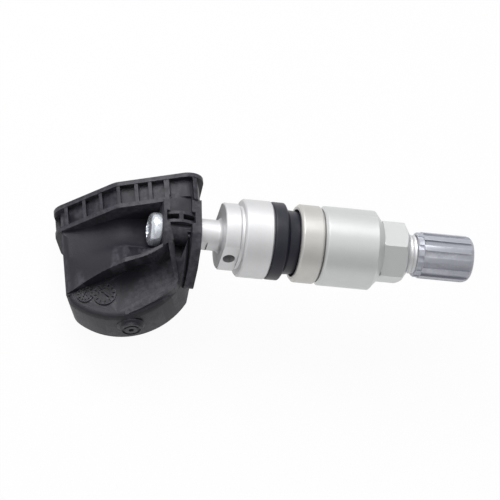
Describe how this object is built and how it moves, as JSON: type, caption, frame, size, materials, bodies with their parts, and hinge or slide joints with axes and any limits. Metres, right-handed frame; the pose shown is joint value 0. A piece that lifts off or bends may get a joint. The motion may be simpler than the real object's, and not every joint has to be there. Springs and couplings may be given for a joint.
{
  "type": "tyre pressure sensor",
  "caption": "Tyre pressure sensor: moulded transmitter housing clamped by a screw to a wheel valve with grommet, collar nut, core and cap.",
  "frame": {"origin": "on the valve axis, at the outer face of the valve's flange, where the grommet seats in the wheel", "axes": "+X along the valve towards its cap, +Y towards the potted mouth of the housing, +Z away from the housing's back"},
  "size_m": [0.0814, 0.0294, 0.0291],
  "materials": {
    "housing": "glass-filled moulded plastic, fine grain",
    "potting": "cast resin, slightly glossy",
    "board": "solder mask over glass laminate",
    "cell": "plated steel can",
    "tab": "plated spring strip",
    "chip": "moulded resin package",
    "crystal": "plated can",
    "coil": "wound ferrite",
    "antenna": "tinned strip",
    "membrane": "porous film",
    "screw": "bright zinc plating",
    "valve": "satin nickel-plated, turned",
    "grommet": "moulded rubber, satin",
    "collar": "satin, warm tint",
    "nut": "satin anodised, turned",
    "core": "turned brass",
    "spring": "drawn wire",
    "seal": "moulded rubber",
    "gasket": "smooth sealing sleeve",
    "cap": "moulded plastic, blue-grey"
  },
  "bodies": {
    "sensor": {"housing": "housing", "potting_compound": "potting", "circuit_board": "board", "coin_cell": "cell", "cell_tab_front": "tab", "cell_tab_back": "tab", "pressure_chip": "chip", "radio_chip": "chip", "quartz_crystal": "crystal", "wake_up_coil": "coil", "antenna_strip": "antenna", "vent_membrane": "membrane", "clamp_screw": "screw", "valve_stem": "valve", "grommet": "grommet", "core_body": "core", "core_spring": "spring", "core_gasket": "gasket"},
    "collar": {"thrust_collar": "collar"},
    "nut": {"collar_nut": "nut"},
    "pin": {"core_pin": "core", "core_seal": "seal"},
    "cap_insert": {"cap_seal": "seal"},
    "cap": {"valve_cap": "cap"}
  },
  "joints": [
    {"name": "collar_slide", "type": "slide", "parent": "sensor", "child": "collar", "axis": [1, 0, 0], "range_m": [-0.0019, 0.0011]},
    {"name": "nut_turn", "type": "hinge", "parent": "collar", "child": "nut", "pos_m": [0.02, 0, 0], "axis": [1, 0, 0], "range_deg": [-860, 495]},
    {"name": "pin_press", "type": "slide", "parent": "sensor", "child": "pin", "axis": [1, 0, 0], "range_m": [-0.0015, 0], "stiffness_N_per_m": 600, "springref_m": 0.0005, "deforming": ["core_spring"]},
    {"name": "cap_slide", "type": "slide", "parent": "sensor", "child": "cap_insert", "axis": [1, 0, 0], "range_m": [0, 0.0048]},
    {"name": "cap_turn", "type": "hinge", "parent": "cap_insert", "child": "cap", "pos_m": [0.035, 0, 0], "axis": [1, 0, 0], "range_deg": [0, 2170]}
  ],
  "couplings": [
    {"joint": "collar_slide", "follows": "nut_turn", "m_per_rad": 0.00012633},
    {"joint": "cap_slide", "follows": "cap_turn", "m_per_rad": 0.00012633}
  ]
}
